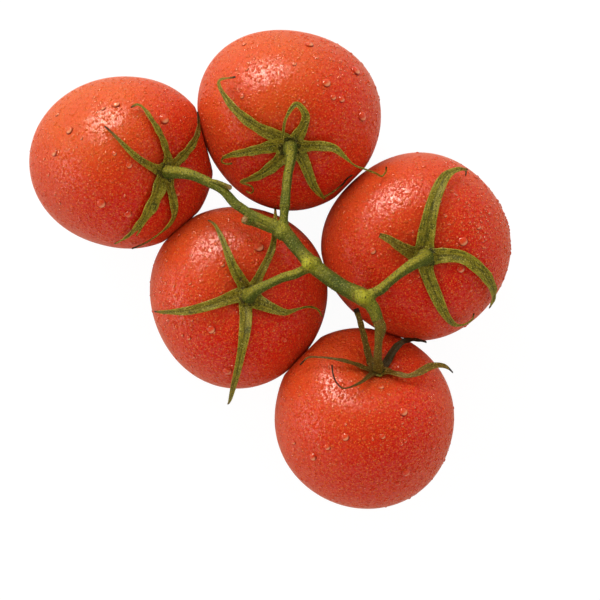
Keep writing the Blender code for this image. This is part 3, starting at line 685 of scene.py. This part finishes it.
def sepal_rings(fruit, width, blunt, tail, tip, marks, narrow):
    """Rings of a sepal, and along and across values for its material.

    Across, with v from -1 to 1: height = rise half v^2 for the lifted edges, less a narrow groove at v = 0,
    plus a low vein on each side, plus a ripple that grows with |v|^3. Along, with s from 0 to 1: the blade
    is (1 - (s / tail)^blunt) of the way from the width of the tip to the full width, flared at the root,
    with a waist where one is given, and it twists a little towards the tip.
    """
    if marks[0][1] < 8:
        marks = [(marks[0][0], sepal_root, 0.9), *marks]
    flat = [(reach * math.cos(math.radians(bearing)), reach * math.sin(math.radians(bearing)), rise)
            for bearing, reach, rise in marks]
    path = smooth_path(flat, sepal_step)
    middle = on_skin(fruit, np.arctan2(path[:, 1], path[:, 0]), np.hypot(path[:, 0], path[:, 1]), path[:, 2])
    middle = clear_of_skins(middle, sepal_clear + 0.3)
    ahead = unit_rows(np.gradient(middle, axis=0))
    across = unit_rows(np.cross(ahead, middle - fruit["at"]))
    up = np.cross(across, ahead)
    s = np.linspace(0, 1, len(path))[:, None]
    length = sepal_step * len(path)
    phase, wave, sway = random.uniform(0, 6.3), random.uniform(3.5, 6), random.uniform(-0.35, 0.35)
    twist = sway * s ** 1.5
    across, up = across * np.cos(twist) + up * np.sin(twist), up * np.cos(twist) - across * np.sin(twist)
    leaf = 1 - np.clip(s / tail, 0, 1) ** blunt
    half = (width * leaf + tip * (1 - leaf)) / 2 * (1 + 0.05 * np.sin(length * s / 3.1 + phase))
    half = half * (1 + root_flare * np.exp(-(length * s / flare_length) ** 2))
    half = half * (1 - narrow[1] * np.exp(-((s - narrow[0]) / waist_length) ** 2))
    thick = blade_thick - tip_less * s
    v = np.linspace(-1, 1, sepal_across)[None]
    lift = (half * edge_rise * v ** 2 - groove_depth * np.exp(-(v / groove_width) ** 2)
            + vein_height * np.exp(-((np.abs(v) - vein_at) / vein_width) ** 2)
            + edge_ripple * half * np.abs(v) ** 3 * np.sin(2 * math.pi * wave * s + phase + 1.5 * np.sign(v)))
    edge = thick * (1 - edge_thinner * v ** 4) / 2
    blade = middle[:, None] + across[:, None] * (half * v)[..., None]
    top, low = (blade + up[:, None] * height[..., None] for height in (lift + edge, lift - edge))
    rings = clear_of_skins(np.concatenate([top, low[:, ::-1]], 1), 0.06)
    value_v = np.concatenate([v, v[:, ::-1]], 1) + 0 * s
    return rings, s + 0 * value_v, value_v, length


def join(parts):
    """One point array and one face list from several grids of closed rings, each with its two ends.

    A part whose faces would look inward, that is with a sum of (point - middle) . (step along the ring x
    step to the next ring) below zero, has them turned.
    """
    points, faces, start = [], [], 0
    for rings in parts:
        rows, sides = rings.shape[:2]
        ends = np.stack([rings[0].mean(0), rings[-1].mean(0)])
        points.append(np.concatenate([rings.reshape(-1, 3), ends]))
        middle = rings.mean(1, keepdims=True)
        inward = ((rings - middle)[:-1] * np.cross(np.roll(rings, -1, axis=1)[:-1] - rings[:-1],
                                                   rings[1:] - rings[:-1])).sum() > 0
        turned = slice(None, None, -1) if inward else slice(None)
        faces += [[corner + start for corner in face][turned] for face in ring_faces(rows, sides)]
        start += rows * sides + 2
    return np.concatenate(points), faces


leaf_shade, leaf_light = (0.080, 0.086, 0.008, 1), (0.350, 0.300, 0.018, 1)
leaf_patch, leaf_black = (0.330, 0.270, 0.016, 1), (0.030, 0.014, 0.003, 1)
# the dark of the veins also paints the shade round the head of the pedicel
leaf_edge, leaf_vein_and_shade, leaf_dried = (0.48, 0.43, 0.040, 1), (0.055, 0.055, 0.005, 1), (0.210, 0.105, 0.010, 1)
leaf_dark_speck, leaf_pale_speck = (0.040, 0.034, 0.004, 1), (0.72, 0.62, 0.140, 1)
leaf_green, tree = new_material("sepal_green")
dry = value_of(tree, "dry")
lengthwise = wire(tree, "ShaderNodeCombineXYZ", {"X": value_of(tree, "across"), "Y": value_of(tree, "along")})
streaks = wire(tree, "ShaderNodeTexNoise", {"Vector": lengthwise.outputs["Vector"], "Scale": 1.0,
                                            "Detail": 3.0}).outputs["Fac"]
rough = wire(tree, "ShaderNodeBump", {"Height": clouds(tree, 2600.0, 0.3, 0.7), "Strength": 0.6,
                                      "Distance": 0.00015}).outputs["Normal"]
set_shader(tree, Base_Color=layered(
    tree, leaf_shade, (stretched(tree, streaks, 0.38, 0.60), leaf_light),
    (clouds(tree, 500.0, 0.42, 0.66), leaf_patch), (value_of(tree, "rim"), leaf_edge),
    (value_of(tree, "vein_and_shade"), leaf_vein_and_shade), (stretched(tree, dry, 0.0, 0.6, 0.0, 0.9), leaf_dried),
    (clouds(tree, 1700.0, 0.51, 0.68), leaf_dark_speck), (clouds(tree, 2400.0, 0.57, 0.72), leaf_pale_speck),
    (stretched(tree, dry, 0.55, 0.95), leaf_black)),
           Normal=rough, Roughness=0.5, Specular_IOR_Level=0.12, Subsurface_Weight=0.08,
           Subsurface_Radius=(0.6, 1.0, 0.2), Subsurface_Scale=0.001)

hub_sides, hub_rings = 40, 9
sepal_hairs = {"a": 900, "b": 900, "c": 900, "d": 900, "e": 250}
green_pieces = []
for letter, fruit in fruits.items():
    parts, values = [], {"dry": [], "rim": [], "vein_and_shade": [], "across": [], "along": []}
    for number, (width, blunt, tail, tip, dried, dryness, marks) in enumerate(sepals[letter]):
        narrow = waist.get(letter, {}).get(number, (0, 0))
        rings, s, v, length = sepal_rings(fruit, width, blunt, tail, tip, marks, narrow)
        parts.append(rings)
        brown = np.clip(0.6 * dryness + np.clip((s - 1) * length / dried + 1, 0, 1), 0, 1)
        line = np.exp(-(v / 0.16) ** 2) + 0.4 * np.exp(-((np.abs(v) - vein_at) / vein_width) ** 2)
        # painted shade: the root of a blade is darkened near the hub, round the head of the pedicel
        root = np.clip((2.6 - s * length) / 0.9, 0, 1) if marks[0][1] < 8 else 0
        shift = random.uniform(0, 50)
        edge = 0.8 * np.clip((np.abs(v) - 0.84) / 0.16, 0, 1)
        for key, value in (("dry", brown), ("rim", edge), ("vein_and_shade", np.maximum(0.75 * line, root)),
                           ("across", v * width * 0.8 + shift), ("along", s * length * 0.22)):
            values[key].append(np.append(value.ravel(), value[[0, -1], 0]))
    share = np.linspace(0.04, 0.96, hub_rings)[:, None] * math.pi
    turn = full_turn(hub_sides)
    low, high = hub_rise
    hub = on_skin(fruit, turn + 0 * share, hub_radius[letter] * np.sin(share) * (1 + 0.08 * np.cos(5 * turn)),
                  low + (high - low) * (1 + np.cos(share)) / 2 + 0 * turn)
    parts.append(hub)
    outward = np.append((hub_radius[letter] * np.sin(share) + 0 * turn).ravel(), [0, 0])
    # painted shade: a dark ring in the hub round the head of the pedicel
    values["vein_and_shade"].append(np.clip((shade_ring_radius + 0.3 - outward) / 0.5, 0, 1))
    values["across"].append(np.append((7 * turn + 0 * share).ravel(), [0, 0]))
    values["along"].append(outward * 0.3)
    for key in ("dry", "rim"):
        values[key].append(0 * outward)
    points, faces = join(parts)
    piece = surface("sepals_" + letter, points, faces)
    for key, value in values.items():
        add_values(piece, key, np.concatenate(value))
    piece.data.materials.append(leaf_green)
    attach(piece, "root")
    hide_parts("calyx_" + letter)
    green_pieces.append((piece, sepal_hairs[letter]))


# Pedicels: the short green stalk of each fruit, from the knuckle where it would come off to the swollen
# head that sits in the calyx. It is ribbed lengthwise and finely haired.
# runs of the main stem as (x, y, z, radius). Each pedicel goes on from the end of the run of its letter
stem_runs = {
    "a": [(32.4, -10.2, 59.5, 3), (23.7, -5.7, 59.5, 2.55), (15.2, 0.7, 59, 2.6), (10.7, 5.4, 58.5, 2.25),
          (4.9, 12.2, 58, 2.4), (-0.2, 15.3, 58, 1.75), (-6, 18, 57.5, 1.55), (-9.4, 20.3, 57, 1.65)],
    "b": [(4.9, 12, 58, 2.0), (5.3, 17, 58, 1.5), (5.6, 20.4, 58, 1.7)],
    "c": [(15.2, 0.8, 59, 2.0), (11.2, -1.2, 59.5, 1.6)],
    "d": [(32.4, -10.2, 59.5, 2.4), (36.2, -8.1, 60.3, 1.8)],
    "e": [(32.4, -10.2, 59.5, 2.6), (35.2, -13.7, 59.5, 2.2), (36.9, -18, 59, 2.0)],
    "cut_end": [(32.4, -10.2, 59.5, 2.9), (31.8, -10.0, 55, 2.7), (30.9, -9.6, 51.7, 2.6)],
    "dried": [(3.3, 12.4, 57.5, 1.7), (-2.5, 14.3, 57.6, 1.4), (-6.0, 15.6, 58.2, 1.3), (-8.2, 16.9, 59.2, 1.35)],
}
pedicels = {
    "a": [(-15.4, 26, 57, 1.42), (-21.5, 29.4, 57, 1.6), (-27, 31.6, 56, 1.8)],
    "b": [(6.6, 31, 58, 1.5), (7.6, 36.5, 57.5, 1.7)],
    "c": [(5, -3.4, 60, 1.5), (0, -5.6, 59.7, 1.5), (-4, -7.6, 58.5, 1.8)],
    "d": [(40, -5.3, 60.9, 1.5), (43.5, -2.4, 61.5, 1.6), (48.5, 1, 61.2, 1.9)],
    "e": [(37.2, -24, 57, 1.4), (37.0, -27.5, 54.8, 1.3), (37.0, -31, 52, 1.4)],
}
side_stub = [(-21.5, 28.9, 57.4, 0.9), (-17.5, 28.7, 58.2, 0.75), (-12.2, 26.6, 58.3, 0.8)]
knuckle_overlap, knuckle_run = 0.8, 2
head_radius = {"a": (2.2, 2.5), "b": (2.2, 2.8), "c": (2.4, 2.9), "d": (2.5, 3.2), "e": (1.6, 2.0)}
head_rise = (1.3, 3.6)
stalk_step, stalk_uneven = 0.35, 0.05
knuckle_brown = {"a": 0.35, "b": 0.15, "c": 0.15, "d": 0.2, "e": 0.9}
all_over_brown = {"a": 0, "b": 0, "c": 0, "d": 0, "e": 0.8}
stalk_hairs = {"a": 700, "b": 700, "c": 700, "d": 700, "e": 350}


def stalk(marks, sides, ribs, rib_height, rounding, phase=0.0):
    """Rings of a stem along marks of (x, y, z, radius): radius + rib_height cos(ribs turn + phase).

    The ribs wind a little, and the radius is uneven by a sine of twice the turn. The last and first rings
    close in by a quarter circle, over a length of rounding at each end.
    """
    path = smooth_path(marks, stalk_step)
    ahead = unit_rows(np.gradient(path[:, :3], axis=0))
    span = path[-1, :3] - path[0, :3]
    level = np.cross((0, 0, 1.0), span) if np.hypot(*span[:2]) > 0.3 * abs(span[2]) else np.array((0, 1.0, 0))
    up = unit_rows(np.cross(ahead, level))
    side = np.cross(up, ahead)
    run = np.linspace(0, stalk_step * (len(path) - 1), len(path))[:, None]
    turn = full_turn(sides)
    start, end = rounding
    close = np.sqrt(np.clip(1 - np.clip(1 - run / max(start, 0.01), 0, 1) ** 2, 0.02, 1))
    close = close * np.sqrt(np.clip(1 - np.clip(1 - (run[-1] - run) / max(end, 0.01), 0, 1) ** 2, 0.02, 1))
    radius = path[:, 3:4] * close + rib_height * np.cos(ribs * turn + phase + run * 0.08) * close
    radius = radius + stalk_uneven * np.sin(turn * 2 + run * 0.7 + phase) * close
    return path[:, None, :3] + side[:, None] * (radius * np.cos(turn))[..., None] \
        + up[:, None] * (radius * np.sin(turn))[..., None]


# painted light: stems are painted yellow-green on the side facing the lamps and deep green on the other
stem_shade, stem_light = (0.052, 0.090, 0.008, 1), (0.340, 0.300, 0.014, 1)
stem_patch, node_yellow_and_highlight = (0.080, 0.120, 0.009, 1), (0.58, 0.56, 0.030, 1)
knuckle_tan, cut_tan = (0.185, 0.095, 0.010, 1), (0.50, 0.25, 0.12, 1)
stem_dark_speck, stem_pale_speck = (0.055, 0.065, 0.006, 1), (0.62, 0.56, 0.110, 1)
stem_green, tree = new_material("stem_green")
rough = wire(tree, "ShaderNodeBump", {"Height": clouds(tree, 1500.0, 0.3, 0.7), "Strength": 0.7,
                                      "Distance": 0.0004}).outputs["Normal"]
set_shader(tree, Base_Color=layered(
    tree, stem_shade, (value_of(tree, "painted_lit_side"), stem_light), (clouds(tree, 75.0, 0.50, 0.72), stem_patch),
    (value_of(tree, "node_yellow_and_lit"), node_yellow_and_highlight), (value_of(tree, "brown"), knuckle_tan),
    (value_of(tree, "cut"), cut_tan),
    (clouds(tree, 1900.0, 0.50, 0.66), stem_dark_speck), (clouds(tree, 2300.0, 0.57, 0.74), stem_pale_speck)),
           Normal=rough, Roughness=0.45, Specular_IOR_Level=0.12, Subsurface_Weight=0.08,
           Subsurface_Radius=(0.6, 1.0, 0.2), Subsurface_Scale=0.0015)


def facing_the_lamps(piece):
    """Share by which each point of a piece faces the lamps, for its painted lit side: (n . light / 0.95)^1.8, 0 to
    1 kept.
    """
    normals = np.empty(len(piece.data.vertices) * 3)
    piece.data.vertices.foreach_get("normal", normals)
    return np.clip(normals.reshape(-1, 3) @ light_toward / 0.95, 0, 1) ** 1.8


for letter, fruit in fruits.items():
    before, knuckle = np.array(stem_runs[letter][-2:])
    ahead = unit_rows((knuckle - before)[:3])
    marks = [(*(knuckle[:3] + ahead * past), knuckle[3] * 0.97) for past in (-knuckle_overlap, knuckle_run)]
    seat = on_skin(fruit, np.array(0.0), np.array(0.0), np.array(0.0))
    marks += pedicels[letter] + [(*(seat + fruit["axis"] * rise), radius)
                                for rise, radius in zip(reversed(head_rise), head_radius[letter])]
    parts = [stalk(marks, 36, 5, 0.09, (0.12, 0.5), phase=random.uniform(0, 6))]
    run = np.arange(len(parts[0])) * stalk_step
    browns = [np.exp(-((run - knuckle_overlap) / 0.5) ** 2) * knuckle_brown[letter]
              + 0.5 * np.exp(-((run[-1] - run - 0.5) / 0.4) ** 2) + all_over_brown[letter]]
    if letter == "a":
        parts.append(stalk(side_stub, 20, 4, 0.06, (0.3, 0.5)))
        browns.append(np.linspace(0, 1, parts[1].shape[0]) ** 2)
    points, faces = join(parts)
    piece = surface("stalk_" + letter, points, faces)
    add_values(piece, "painted_lit_side", facing_the_lamps(piece))
    cut_middle = np.array(side_stub[-1][:3]) + (0.2, 0.1, 0.75)
    add_values(piece, "cut", np.exp(-((points - cut_middle) ** 2 / (1.6, 0.5, 0.5)).sum(1)))
    add_values(piece, "brown", np.concatenate(
        [np.append(np.repeat(row, part.shape[1]), row[[0, -1]]) for row, part in zip(browns, parts)]))
    piece.data.materials.append(stem_green)
    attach(piece, "root")
    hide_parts("pedicel_" + letter)
    green_pieces.append((piece, stalk_hairs[letter]))


# Main stem: the thick green axis of the truss, grown in one piece with its swollen nodes and the stubs
# that carry the knuckles. Its runs are joined by a fine remesh, smoothed, and ribbed after that.
stem_nodes = [(4.9, 12, 58, 3.0), (15.2, 0.8, 59, 3.0), (13.2, 1.0, 61.2, 2.1), (32.5, -10.4, 60, 3.1),
              (31.5, -9.9, 62.0, 2.6)]
stem_voxel, stem_hairs = 0.24, 3200
# the dried stub of a flower turns up at its end, to a round scar
side_scar = [(-5.4, 15.2, 58.4, 1.25), (-7.2, 15.8, 59.8, 1.35), (-8.2, 16.2, 61.0, 1.45)]
scar_face, scar_radius = np.array(side_scar[-1][:3]) + (-0.1, 0.0, 0.2), 1.25

parts = [stalk(run, 28, 5, 0.05, (0.3, 0.1), phase=i) for i, run in enumerate([*stem_runs.values(), side_scar])]
for x, y, z, radius in stem_nodes:
    parts.append(np.array((x, y, z)) + radius * sphere_of(18, 28))
points, faces = join(parts)
rough_stem = surface("stem_axis", points, faces)
remesh = rough_stem.modifiers.new("grow_together", "REMESH")
remesh.mode = "VOXEL"
remesh.voxel_size = stem_voxel * mm
soften = rough_stem.modifiers.new("soften", "SMOOTH")
soften.factor = 0.6
soften.iterations = 14
grown = bpy.data.meshes.new_from_object(rough_stem.evaluated_get(bpy.context.evaluated_depsgraph_get()))
rough_stem.modifiers.clear()
rough_stem.data = grown
grown.shade_smooth()

count = len(grown.vertices)
points, normals = np.empty(count * 3), np.empty(count * 3)
grown.vertices.foreach_get("co", points)
grown.vertices.foreach_get("normal", normals)
points, normals = points.reshape(-1, 3) / mm, normals.reshape(-1, 3)
# six low ribs along the runs: 0.07 cos(6 t + 0.03 k) outward, with t the turn about the nearest mark k
axis_runs = [smooth_path(run, 0.8)[:, :3] for run in stem_runs.values()]
axis_marks = np.concatenate(axis_runs)
axis_ahead = np.concatenate([unit_rows(np.gradient(run, axis=0)) for run in axis_runs])
nearest = np.argmin(((points[:, None] - axis_marks[None]) ** 2).sum(-1), axis=1)
arm = points - axis_marks[nearest]
level = unit_rows(np.cross((0, 0, 1.0), axis_ahead[nearest]) + (1e-6, 0, 0))
round_stem = np.arctan2(arm[:, 2], (arm * level).sum(1))
points += normals * (0.07 * np.cos(6 * round_stem + 0.3 * nearest / 10))[:, None]
grown.vertices.foreach_set("co", (points * mm).ravel())
grown.update()


def bells(points, spots):
    """Sum of share e^-(distance / spread)^2 over spots given as (x, y, z, spread, share)."""
    return sum(share * np.exp(-(((points - (x, y, z)) ** 2).sum(1)) / spread ** 2)
               for x, y, z, spread, share in spots)


# where the nodes are yellower, partly a painted highlight on their tops; where painted shade darkens runs to deep
# green; and where the stem is brown, each as (x, y, z, spread, share)
node_spots_yellow_and_lit = [(13.0, 1.2, 62.2, 2.7, 0.9), (31.9, -9.9, 63, 3.0, 1.0), (5.2, 13, 61, 2.2, 0.3)]
painted_shade_runs = [(25.0, -5.6, 60, 6.5, 0.8), (22.0, -3.5, 60, 4.0, 0.3), (8.8, 8.0, 60, 4.6, 0.8)]
brown_ends = [(x, y, z, 0.7 * radius, share) for x, y, z, radius, share in (
    (*stem_runs["cut_end"][-1], 0.8), (*stem_runs["e"][-1], 0.6),
    (-5.2, 14.8, 59.2, 1.2, 0.7), (-3.2, 14.2, 59.0, 1.2, 0.7), (-1.2, 13.2, 59.2, 1.1, 0.6))]
# darker brown rings round the lower-left side of the two large nodes, as (x, y, radius, share)
node_rims, rim_width, rim_floor = [(31.4, -9.9, 2.9, 0.8), (13.2, 1.0, 2.4, 0.6)], 0.35, 59
browned = bells(points, brown_ends)
for x, y, radius, share in node_rims:
    aside = points[:, :2] - (x, y)
    from_middle = np.hypot(*aside.T)
    low_side = np.clip(-(aside.sum(1)) / from_middle, 0, 1)
    seam = np.exp(-((from_middle - radius) / rim_width) ** 2)
    browned = browned + share * low_side * seam * (points[:, 2] > rim_floor)
from_scar = np.linalg.norm(points - scar_face, axis=1)
browned = browned + 1.6 * np.exp(-((from_scar - scar_radius - 0.2) / rim_width) ** 2)
add_values(rough_stem, "node_yellow_and_lit", np.clip(bells(points, node_spots_yellow_and_lit), 0, 1))
add_values(rough_stem, "brown", np.clip(browned, 0, 1))
# painted shade: the painted lit side is cut back on two runs of the stem
add_values(rough_stem, "painted_lit_side", facing_the_lamps(rough_stem) * np.clip(1 - bells(points, painted_shade_runs), 0.1, 1))
add_values(rough_stem, "cut", np.clip((scar_radius - from_scar) / 0.3, 0, 1))
grown.materials.append(stem_green)
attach(rough_stem, "root")
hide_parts("main_stem")
green_pieces.append((rough_stem, stem_hairs))


# Hairs: the short pale fuzz on everything green. Each hair is a thin three-sided spike that leans a
# little to one side.
hair_length, hair_width = (0.30, 0.75), 0.022
hair_lean, hair_sunk = 0.45, 0.03
hair_dark, hair_pale = (0.24, 0.23, 0.04, 1), (0.50, 0.46, 0.14, 1)

fuzz, tree = new_material("hair")
set_shader(tree, Base_Color=layered(tree, hair_dark, (clouds(tree, 300.0, 0.4, 0.6), hair_pale)), Roughness=0.6)

for piece, count in green_pieces:
    mesh = piece.data
    mesh.calc_loop_triangles()
    corners = np.empty(len(mesh.loop_triangles) * 3, dtype=np.int32)
    mesh.loop_triangles.foreach_get("vertices", corners)
    places = np.empty(len(mesh.vertices) * 3)
    mesh.vertices.foreach_get("co", places)
    triangle = (places.reshape(-1, 3) / mm)[corners.reshape(-1, 3)]
    cross = np.cross(triangle[:, 1] - triangle[:, 0], triangle[:, 2] - triangle[:, 0])
    area = np.linalg.norm(cross, axis=1)
    chosen = random.choice(len(area), size=count, p=area / area.sum())
    weights = random.dirichlet((1, 1, 1), count)
    roots = (triangle[chosen] * weights[..., None]).sum(1)
    normal = cross[chosen] / area[chosen][:, None]
    lean = unit_rows(normal + hair_lean * random.normal(size=(count, 3)))
    side = unit_rows(np.cross(lean, (0.4, 0.3, 0.86)))
    other = np.cross(lean, side)
    long = random.uniform(*hair_length, count)[:, None]
    base = [roots - normal * hair_sunk + hair_width * (math.cos(t) * side + math.sin(t) * other)
            for t in full_turn(3)[0]]
    points = np.stack(base + [roots + lean * long], 1).reshape(-1, 3)
    start = np.arange(count)[:, None, None] * 4
    faces = (start + np.array([(0, 1, 3), (1, 2, 3), (2, 0, 3), (2, 1, 0)])).reshape(-1, 3).tolist()
    hairs = surface("hairs_" + piece.name, points, faces)
    hairs.data.materials.append(fuzz)
    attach(hairs, "root")
